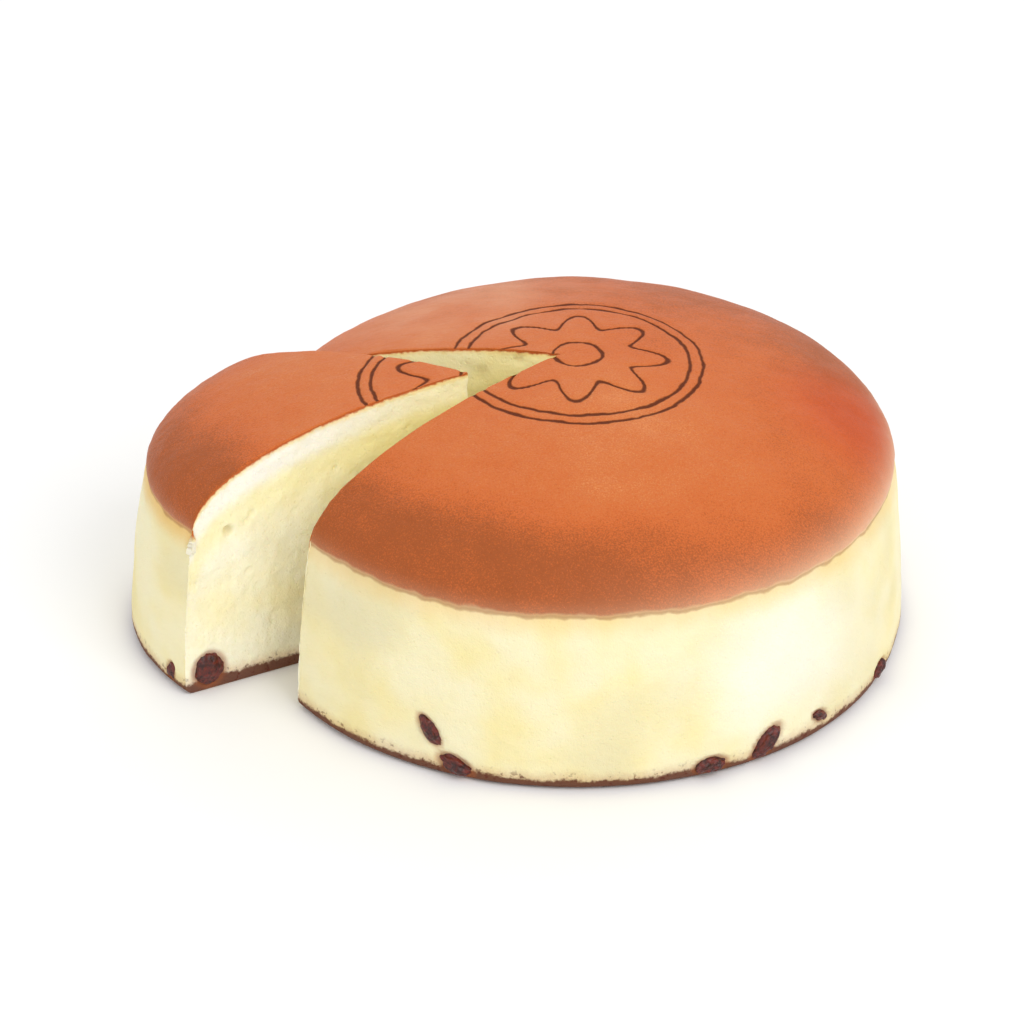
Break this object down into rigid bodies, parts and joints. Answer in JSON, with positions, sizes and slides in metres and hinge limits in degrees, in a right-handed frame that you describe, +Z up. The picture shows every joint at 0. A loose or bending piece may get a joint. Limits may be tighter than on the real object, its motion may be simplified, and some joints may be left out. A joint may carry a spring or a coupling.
{
  "type": "jiggly cheesecake",
  "caption": "Round souffle cheesecake with a browned domed top and pale soft sides, one slice drawn part-way out of its notch, raisins at the base.",
  "frame": {"origin": "centre of the round's flat underside, on the floor", "axes": "+Z up; -Y is the front that faces the viewer; the slice is drawn out towards -X and a little towards -Y"},
  "size_m": [0.2096, 0.1812, 0.075],
  "materials": {
    "cheesecake": "soft pale baked sponge under a thin browned, faintly glossy top skin",
    "raisin": "dark wrinkled skin with a low sheen"
  },
  "bodies": {
    "root": {"cake": "cheesecake", "slice": "cheesecake", "raisin_front_left": "raisin", "raisin_front_left_upper": "raisin", "raisin_front_right": "raisin", "raisin_right_front": "raisin", "raisin_right": "raisin", "raisin_right_end": "raisin", "raisin_right_back": "raisin", "raisin_back_right": "raisin", "raisin_back": "raisin", "raisin_back_left": "raisin", "raisin_notch_near": "raisin", "raisin_slice_cut": "raisin", "raisin_slice_rim": "raisin", "raisin_slice_far": "raisin"}
  },
  "joints": []
}
